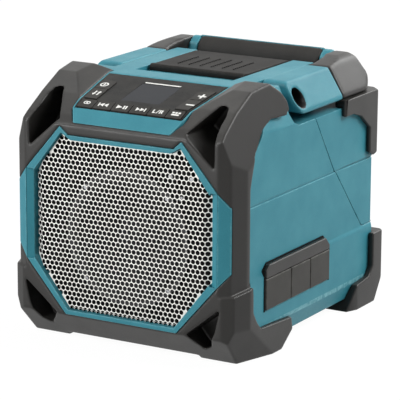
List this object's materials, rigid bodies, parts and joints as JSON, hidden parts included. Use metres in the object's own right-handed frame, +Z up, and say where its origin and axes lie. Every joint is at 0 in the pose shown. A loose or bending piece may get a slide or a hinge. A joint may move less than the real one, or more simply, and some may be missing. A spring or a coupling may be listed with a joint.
{
  "type": "jobsite speaker",
  "caption": "Near-cube wireless speaker in a ruggedised case with corner bumpers, perforated grille, key panel, folding handle, hinged port flaps and a rear battery door.",
  "frame": {"origin": "on the floor, in the middle of the box round the object", "axes": "+X to the side with the ports, +Y from the grille to the battery cover, +Z up"},
  "size_m": [0.198, 0.234, 0.1973],
  "materials": {
    "case_plastic": "fine-grained moulded teal",
    "frame_rubber": "matte dark grey elastomer",
    "grille_metal": "silver lacquer on perforated sheet",
    "dark_plastic": "satin black",
    "key_rubber": "soft dark grey",
    "flap_rubber": "soft grey",
    "display_lens": "clear lens over a grey display",
    "screw_steel": "zinc plated",
    "board_laminate": "solder mask",
    "driver_metal": "black powder coat",
    "magnet_iron": "plated ferrite and iron",
    "cone_paper": "coated paper",
    "surround_rubber": "soft black"
  },
  "bodies": {
    "case": {"front_housing": "case_plastic", "rear_housing": "case_plastic", "front_frame": "frame_rubber", "grille": "grille_metal", "baffle": "dark_plastic", "woofer_basket": "driver_metal", "woofer_magnet": "magnet_iron", "woofer_surround": "surround_rubber", "woofer_spider": "cone_paper", "tweeter": "dark_plastic", "control_panel": "dark_plastic", "display_window": "display_lens", "control_board": "board_laminate", "deck_pad": "frame_rubber", "handle_pivots": "screw_steel", "rear_bumper_upper_left": "frame_rubber", "rear_bumper_upper_right": "frame_rubber", "rear_bumper_lower_left": "frame_rubber", "rear_bumper_lower_right": "frame_rubber", "port_cover": "frame_rubber", "port_tray": "dark_plastic", "usb_socket": "screw_steel", "power_inlet": "dark_plastic", "audio_socket": "dark_plastic", "cover_hinge_pin": "screw_steel", "cover_gasket": "flap_rubber", "battery_bay": "dark_plastic", "battery_rail": "dark_plastic", "main_board": "board_laminate", "housing_screws": "screw_steel", "frame_screws": "screw_steel", "driver_screws": "screw_steel"},
    "handle": {"handle_arm_left": "case_plastic", "handle_arm_right": "case_plastic", "handle_corner_left": "frame_rubber", "handle_corner_right": "frame_rubber", "handle_bar": "case_plastic", "handle_grip": "frame_rubber"},
    "cone": {"woofer_cone": "cone_paper", "dust_cap": "cone_paper"},
    "cover": {"battery_cover": "case_plastic", "latch_pin": "screw_steel"},
    "latch": {"cover_latch": "frame_rubber"},
    "key_power": {"key_power": "key_rubber"},
    "key_source": {"key_source": "key_rubber"},
    "key_pairing": {"key_pairing": "key_rubber"},
    "key_previous": {"key_previous": "key_rubber"},
    "key_play": {"key_play": "key_rubber"},
    "key_next": {"key_next": "key_rubber"},
    "key_stereo": {"key_stereo": "key_rubber"},
    "key_mode": {"key_mode": "key_rubber"},
    "key_minus": {"key_minus": "key_rubber"},
    "key_plus": {"key_plus": "key_rubber"},
    "flap_usb": {"flap_usb": "flap_rubber"},
    "flap_power": {"flap_power": "flap_rubber"},
    "flap_audio": {"flap_audio": "flap_rubber"}
  },
  "joints": [
    {"name": "handle_fold", "type": "hinge", "parent": "case", "child": "handle", "pos_m": [0, -0.01, 0.1795], "axis": [1, 0, 0], "range_deg": [0, 90]},
    {"name": "cover_swing", "type": "hinge", "parent": "case", "child": "cover", "pos_m": [0, 0.1015, 0.0685], "axis": [-1, 0, 0], "range_deg": [0, 90]},
    {"name": "latch_pull", "type": "hinge", "parent": "cover", "child": "latch", "pos_m": [0, 0.103, 0.1425], "axis": [1, 0, 0], "range_deg": [0, 40], "stiffness_Nm_per_rad": 0.02, "springref_deg": -17.19},
    {"name": "cone_stroke", "type": "slide", "parent": "case", "child": "cone", "axis": [0, 1, 0], "range_m": [-0.002, 0.002], "stiffness_N_per_m": 1500},
    {"name": "flap_usb_lift", "type": "hinge", "parent": "case", "child": "flap_usb", "pos_m": [0.0956, -0.052, 0.058], "axis": [0, -1, 0], "range_deg": [0, 120]},
    {"name": "flap_power_lift", "type": "hinge", "parent": "case", "child": "flap_power", "pos_m": [0.0956, -0.018, 0.058], "axis": [0, -1, 0], "range_deg": [0, 120]},
    {"name": "flap_audio_lift", "type": "hinge", "parent": "case", "child": "flap_audio", "pos_m": [0.0956, 0.0125, 0.058], "axis": [0, -1, 0], "range_deg": [0, 120]},
    {"name": "key_power_press", "type": "slide", "parent": "case", "child": "key_power", "axis": [0, 0.2178, -0.976], "range_m": [0, 0.0008], "stiffness_N_per_m": 600, "springref_m": -0.0006},
    {"name": "key_source_press", "type": "slide", "parent": "case", "child": "key_source", "axis": [0, 0.2178, -0.976], "range_m": [0, 0.0008], "stiffness_N_per_m": 600, "springref_m": -0.0006},
    {"name": "key_pairing_press", "type": "slide", "parent": "case", "child": "key_pairing", "axis": [0, 0.4384, -0.8988], "range_m": [0, 0.0008], "stiffness_N_per_m": 600, "springref_m": -0.0006},
    {"name": "key_previous_press", "type": "slide", "parent": "case", "child": "key_previous", "axis": [0, 0.4384, -0.8988], "range_m": [0, 0.0008], "stiffness_N_per_m": 600, "springref_m": -0.0006},
    {"name": "key_play_press", "type": "slide", "parent": "case", "child": "key_play", "axis": [0, 0.4384, -0.8988], "range_m": [0, 0.0008], "stiffness_N_per_m": 600, "springref_m": -0.0006},
    {"name": "key_next_press", "type": "slide", "parent": "case", "child": "key_next", "axis": [0, 0.4384, -0.8988], "range_m": [0, 0.0008], "stiffness_N_per_m": 600, "springref_m": -0.0006},
    {"name": "key_stereo_press", "type": "slide", "parent": "case", "child": "key_stereo", "axis": [0, 0.4384, -0.8988], "range_m": [0, 0.0008], "stiffness_N_per_m": 600, "springref_m": -0.0006},
    {"name": "key_mode_press", "type": "slide", "parent": "case", "child": "key_mode", "axis": [0, 0.4384, -0.8988], "range_m": [0, 0.0008], "stiffness_N_per_m": 600, "springref_m": -0.0006},
    {"name": "key_minus_press", "type": "slide", "parent": "case", "child": "key_minus", "axis": [0, 0.2178, -0.976], "range_m": [0, 0.0008], "stiffness_N_per_m": 600, "springref_m": -0.0006},
    {"name": "key_plus_press", "type": "slide", "parent": "case", "child": "key_plus", "axis": [0, 0.2178, -0.976], "range_m": [0, 0.0008], "stiffness_N_per_m": 600, "springref_m": -0.0006}
  ]
}
